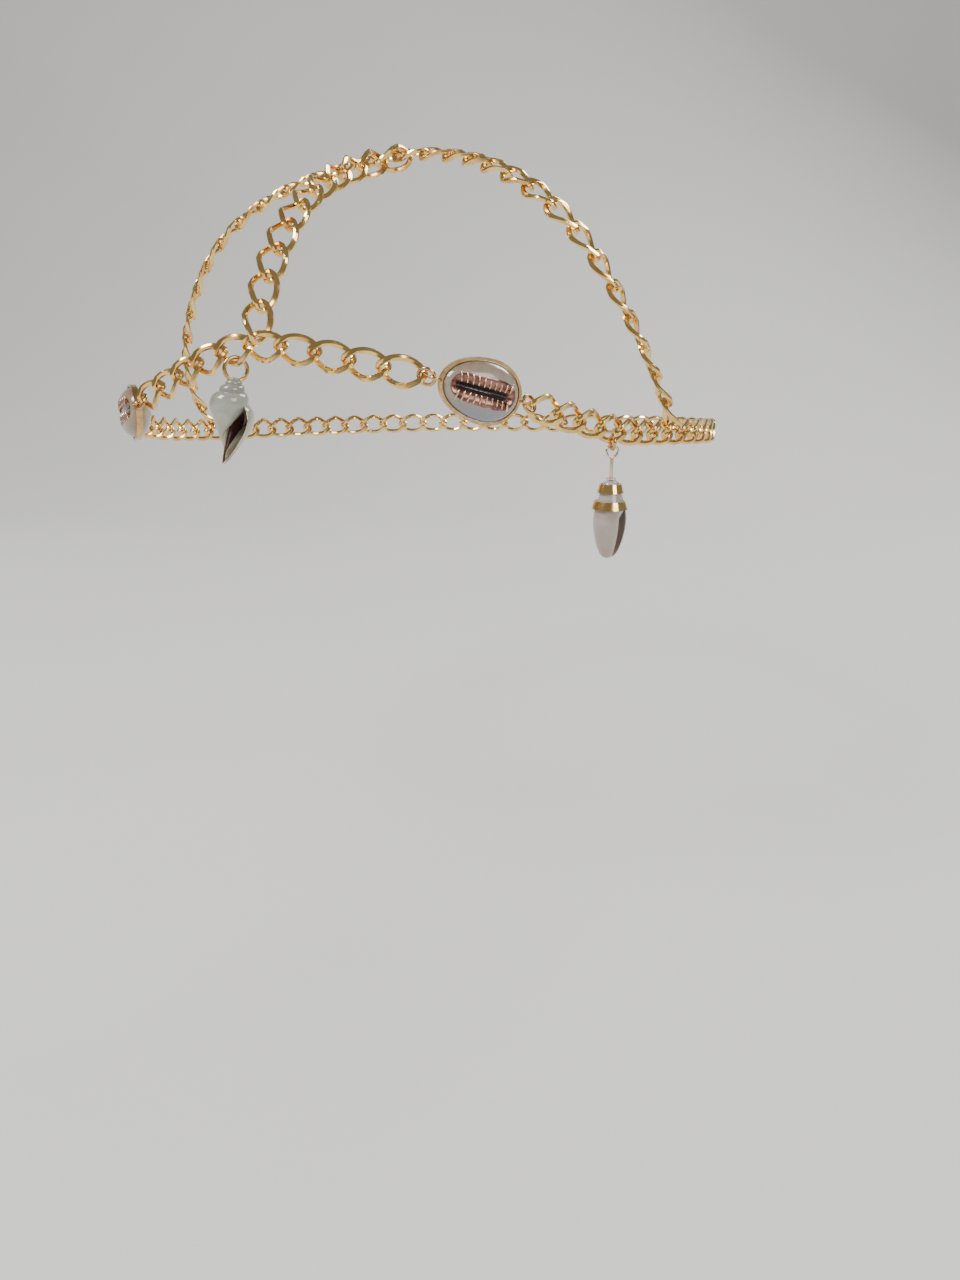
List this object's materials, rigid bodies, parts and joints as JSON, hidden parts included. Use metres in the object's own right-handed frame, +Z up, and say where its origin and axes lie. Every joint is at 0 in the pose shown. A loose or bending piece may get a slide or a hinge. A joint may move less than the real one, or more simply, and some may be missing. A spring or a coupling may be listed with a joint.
{
  "type": "hair chain",
  "caption": "Chain headpiece: a curb chain circlet with strands over the crown, cowrie shell links at the front and hanging shell pendants, held up as on a head.",
  "frame": {"origin": "middle of the head opening, at the height of the circlet's front junction", "axes": "+Z up out of the wearer's crown, -Y to the wearer's front, +X to the wearer's left"},
  "size_m": [0.1572, 0.1886, 0.0998],
  "materials": {
    "chain_gold": "polished gold-coloured metal",
    "ring_gold": "darker gold-coloured metal, slightly worn",
    "rose_gold": "pale rose-gold-coloured metal, polished",
    "cowrie": "glossy grey-beige shell with a brown and a blue-grey cast",
    "whelk": "glossy grey-white shell with a wine-brown mouth",
    "cone": "glossy grey-beige shell with a dark purple-brown mouth"
  },
  "bodies": {
    "root": {"circlet_front_left": "chain_gold", "circlet_front_right": "chain_gold", "circlet_back_left": "chain_gold", "circlet_back_right": "chain_gold", "front_strand": "chain_gold", "side_strand_left": "chain_gold", "side_strand_right": "chain_gold", "crown_link": "chain_gold", "left_cowrie_shell": "cowrie", "left_cowrie_rim": "ring_gold", "left_cowrie_front_ring": "ring_gold", "left_cowrie_back_ring": "ring_gold", "right_cowrie_shell": "cowrie", "right_cowrie_rim": "ring_gold", "right_cowrie_front_ring": "ring_gold", "right_cowrie_back_ring": "ring_gold"},
    "whelk": {"whelk_ring": "ring_gold", "whelk_shell": "whelk"},
    "cone": {"cone_ring": "ring_gold", "cone_eye": "rose_gold", "cone_shell": "cone", "cone_band_upper": "chain_gold", "cone_band_lower": "chain_gold"}
  },
  "joints": [
    {"name": "whelk_swing", "type": "hinge", "parent": "root", "child": "whelk", "pos_m": [-0.00448, -0.08998, -0.00291], "axis": [0.7771, -0.6293, 0], "range_deg": [-60, 15]},
    {"name": "cone_swing", "type": "hinge", "parent": "root", "child": "cone", "pos_m": [0.06657, -0.04185, -0.01982], "axis": [0.809, 0.5878, 0], "range_deg": [-60, 15]}
  ]
}
